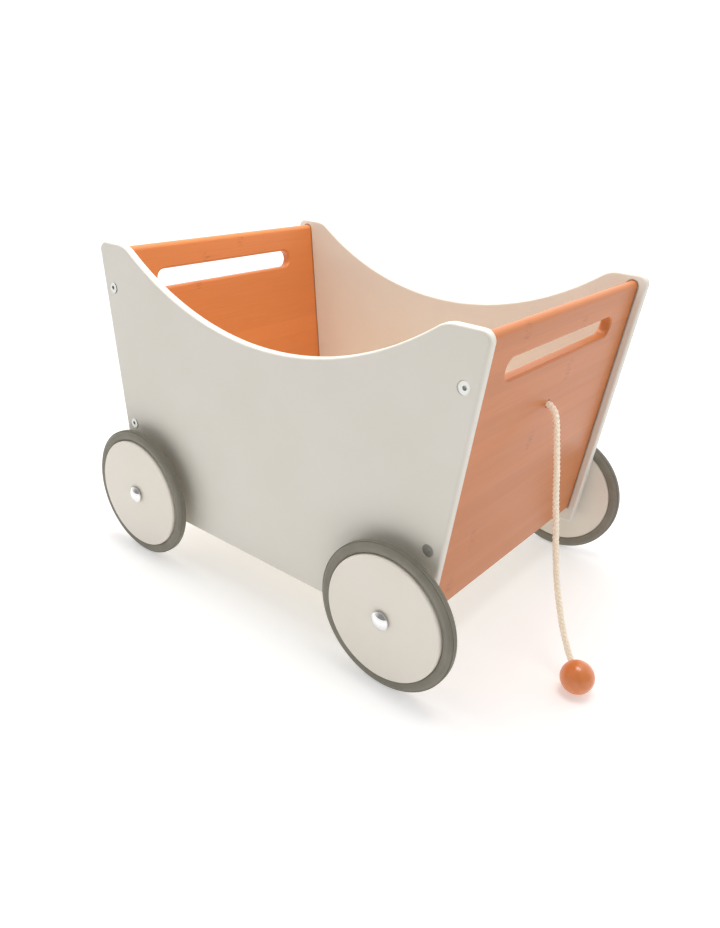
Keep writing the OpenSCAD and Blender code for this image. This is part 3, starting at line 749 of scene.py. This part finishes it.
def side_panel(name, side):
    inner_y, outer_y = sorted((side * side_low.y, side * side_high.y), key=abs)
    panel = board(name, side_outline(), min(inner_y, outer_y), max(inner_y, outer_y), side_rounding,
                  lambda u, v, w: Vector((u, w, v)))
    out = Vector((0, side, 0))
    for end, slope in bolt_places:
        centre = on_end(end)(-end_inset - end_thickness / 2, slope, outer_y)
        countersink = [(0.01 * MM, past_face), (head_radius, past_face), (head_radius, 0),
                       (hole_radius, -cone_depth), (hole_radius, past_back), (0.01 * MM, past_back)]
        cut(panel, turned("countersink", countersink, centre, out, 48))
    for end in (FRONT, REAR):
        bore = [(0.01 * MM, 6 * MM), (axle_bore_radius, 6 * MM), (axle_bore_radius, past_back),
                (0.01 * MM, past_back)]
        cut(panel, turned("axle_bore", bore, (end * axle_x, outer_y, axle_z), out, 48))
        groove_ends = sorted((inner_y - side * 2 * MM, inner_y + side * groove_depth))
        cut(panel, board("groove", end_outline(groove_gap), *groove_ends, 0.05 * MM, on_end(end), 1))
    shade(panel)
    panel.data.materials.clear()
    panel.data.materials.append(side_paint)
    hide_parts("side_panel_left" if side == LEFT else "side_panel_right")
    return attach(panel, "wagon_body")


left_side = side_panel("painted_side_left", LEFT)
right_side = side_panel("painted_side_right", RIGHT)
print("side panels:", len(left_side.data.polygons), "and", len(right_side.data.polygons), "faces")

# %% [markdown]
# ## The end panels
# An end panel is a bamboo board with a full-round top, which leans outward. Its hand slot is cut
# right through and its edges are rounded over on both faces, so that it is kind to fingers. The
# cutter for the slot is itself a loft: its outline swells towards each face like a trumpet, and
# cutting with it leaves the rounding behind.

# %% Cutters for the slot and the cord's hole
def flare(depth, rounding, steps=7):
    """(growth, depth) pairs of a cutter that rounds both mouths of a through cut."""
    angles = [math.radians(90 * i / steps) for i in range(1, steps + 1)]
    mouth = [(rounding * (1 - math.sin(a)), rounding * (1 - math.cos(a))) for a in angles]
    reach = 3
    beyond = (rounding + reach * (rounding - mouth[0][0]), -reach * mouth[0][1])
    mouth = [beyond, *mouth]
    return mouth + [(growth, depth - down) for growth, down in reversed(mouth)]


slot_half_run, slot_radius, slot_rounding = 98 * MM, 10.3 * MM, 2.8 * MM
cord_hole_radius, cord_hole_rounding = 4.25 * MM, 0.8 * MM
slot_z = end_top - 39.5 * MM
cord_hole_z = end_top - 98.5 * MM


def slot_cutter(end):
    place = on_end(end)
    rings = []
    for growth, down in flare(end_thickness, slot_rounding):
        radius = slot_radius + growth
        turns = [math.radians(a) for a in range(-90, 91, 10)]
        ends = [(slot_half_run + radius * math.cos(a), radius * math.sin(a)) for a in turns]
        ends += [(-y, -z) for y, z in ends]
        rings.append([place(-end_inset - down, slot_z + z, y) for y, z in ends])
    return loft("slot_cutter", rings)


def cord_hole_cutter():
    mouths = flare(end_thickness, cord_hole_rounding, 4)
    profile = [(cord_hole_radius + growth, -down) for growth, down in mouths]
    profile = [(0.01 * MM, profile[0][1]), *profile, (0.01 * MM, profile[-1][1])]
    return turned("cord_hole_cutter", profile, on_end(FRONT)(-end_inset, cord_hole_z, 0), panel_out, 48)


# %% Make the end panels
end_half_width = side_low.y + 1.2 * MM


def end_panel(name, end, finish):
    panel = board(name, end_outline(), -end_half_width, end_half_width, 0.8 * MM, on_end(end), 3)
    cut(panel, slot_cutter(end))
    if end == FRONT:
        cut(panel, cord_hole_cutter())
    shade(panel)
    panel.data.materials.clear()
    panel.data.materials.append(finish)
    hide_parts("front_panel" if end == FRONT else "rear_panel")
    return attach(panel, "wagon_body")


front_end = end_panel("bamboo_end_front", FRONT, front_bamboo)
rear_end = end_panel("bamboo_end_rear", REAR, rear_bamboo)
print("end panels:", len(front_end.data.polygons), "and", len(rear_end.data.polygons), "faces")

# %% [markdown]
# ## The tyres
# A tyre is a ring of solid rubber. Its side wall bulges past a narrow dark gap beside the disc,
# then rolls over to a tread with a few fine moulded grooves. All of that is one closed profile,
# turned round the axle.

# %% Turn the tyres
def tyre_profile(width, inner, outer):
    half = width / 2
    shoulder = 5.6 * MM
    lip = 1.1 * MM
    groove_half, groove_deep = 0.3 * MM, 0.5 * MM
    bulge = -half + 0.9 * MM
    side = [(inner - 1.0 * MM, bulge + 3 * MM), (inner + 0.3 * MM, bulge + 2.2 * MM),
            (inner + lip, bulge + 1.2 * MM), (inner + 2 * lip, bulge + 0.5 * MM)]
    side += quarter(outer - 0.2 * MM - shoulder, bulge + shoulder, shoulder, -88, -14, 12)
    tread = []
    for place in (-2.4 * MM, -0.8 * MM, 0.8 * MM, 2.4 * MM):
        crown = outer - 0.02 * MM * (place / MM) ** 2
        tread += [(crown, place - groove_half), (crown - groove_deep, place - 0.4 * groove_half),
                  (crown - groove_deep, place + 0.4 * groove_half), (crown, place + groove_half)]
    far_side = [(radius, -height) for radius, height in reversed(side)]
    return side + tread + far_side


for end_name in ("front", "rear"):
    for side_name in ("left", "right"):
        node = f"tyre_{end_name}_{side_name}"
        low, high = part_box(node)
        disc_low, disc_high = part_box(f"wheel_disc_{end_name}_{side_name}")
        centre = (low + high) / 2
        profile = tyre_profile(high.y - low.y, (disc_high.z - disc_low.z) / 2, (high.z - low.z) / 2)
        tyre = turned(f"rubber_{node}", profile, centre, (0, 1, 0), 192, closed=True)
        shade(tyre, 40)
        tyre.data.materials.append(tyre_rubber)
        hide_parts(node)
        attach(tyre, f"wheel_{end_name}_{side_name}")
print("tyres:", len(profile), "points in the profile")

# %% [markdown]
# ## Finishes for the parts that stay as CAD
# Discs, axles, caps, bolts, screws, rails and the floor already have their true shape, so they
# only need a finish. Each node is matched by the start of its name.

# %% Dress the CAD nodes
node_finishes = {
    "wheel_disc": disc_paint, "hub_bush": nylon, "wheel_spacers": nylon, "axle_caps": chrome,
    "axle_rail": birch, "floor_cleat": birch, "axle_front": rod_steel, "axle_rear": rod_steel,
    "front_panel_bolts": nickel, "rear_panel_bolts": nickel, "front_panel_inserts": brass,
    "rear_panel_inserts": brass, "floor_screws": zinc, "cleat_screws": zinc, "floor_panel": birch,
}
dressed = 0
for name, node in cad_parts.items():
    for start, finish in node_finishes.items():
        if name.startswith(start):
            for slot in node.material_slots:
                slot.material = finish
            dressed += 1
print("dressed", dressed, "CAD nodes")

# %% [markdown]
# ## Floor and light
# Product pictures of toys are taken on a white sweep under an overhead softbox, with pale walls
# all round. The faces turned to the camera are then in gentle shade while every top edge catches
# the light. The walls are brighter beyond the wagon than behind the camera, and the sweep glows
# softly so that it stays white right up to the wheels, with only a light shadow under the body.

# %% Floor
floor_mesh = bpy.data.meshes.new("studio_floor")
floor_mesh.from_pydata([(-30, -30, 0), (30, -30, 0), (30, 30, 0), (-30, 30, 0)], [], [(0, 1, 2, 3)])
studio_floor = bpy.data.objects.new("studio_floor", floor_mesh)
scene.collection.objects.link(studio_floor)
floor_finish, floor_tree, floor_shader = new_finish("white_sweep", (0.75, 0.75, 0.75), 0.6)
floor_shader.inputs["Emission Color"].default_value = (1, 1, 1, 1)
floor_place = add(floor_tree, "ShaderNodeTexCoord").outputs["Object"]
from_wagon = add(floor_tree, "ShaderNodeVectorMath", {0: floor_place}, operation="LENGTH")
near_reach, far_reach = 0.6, 1.6
near_glow, far_glow = 0.4, 0.62
floor_glow = ramp(floor_tree, from_wagon.outputs["Value"], near_reach, far_reach, near_glow, far_glow)
floor_tree.links.new(floor_glow, floor_shader.inputs["Emission Strength"])
floor_mesh.materials.append(floor_finish)
print("floor laid at z =", 0)

# %% Light
world = bpy.data.worlds.new("studio")
scene.world = world
world.use_nodes = True
sky = world.node_tree
background = sky.nodes["Background"]
direction = add(sky, "ShaderNodeTexCoord").outputs["Generated"]
ahead = Vector((forward.x, forward.y, 0)).normalized()
facing = add(sky, "ShaderNodeVectorMath", {0: direction, 1: ahead}, operation="DOT_PRODUCT")
wall_behind, wall_ahead = 0.3, 1.15
wall_light = ramp(sky, facing.outputs["Value"], -0.6, 0.5, wall_behind, wall_ahead)
sky.links.new(wall_light, background.inputs["Strength"])
background.inputs["Color"].default_value = (1.0, 1.0, 1.0, 1)

softbox = bpy.data.lights.new("softbox", "AREA")
softbox.shape = "RECTANGLE"
softbox.size, softbox.size_y = 1.1, 0.36
softbox.energy = 8
softbox.color = (1.0, 0.985, 0.96)
softbox_stand = bpy.data.objects.new("softbox", softbox)
softbox_stand.location = (-0.05, 0.0, 1.0)
scene.collection.objects.link(softbox_stand)
scene.view_settings.view_transform = "Standard"
print("softbox", softbox.energy, "W at", softbox_stand.location[:])
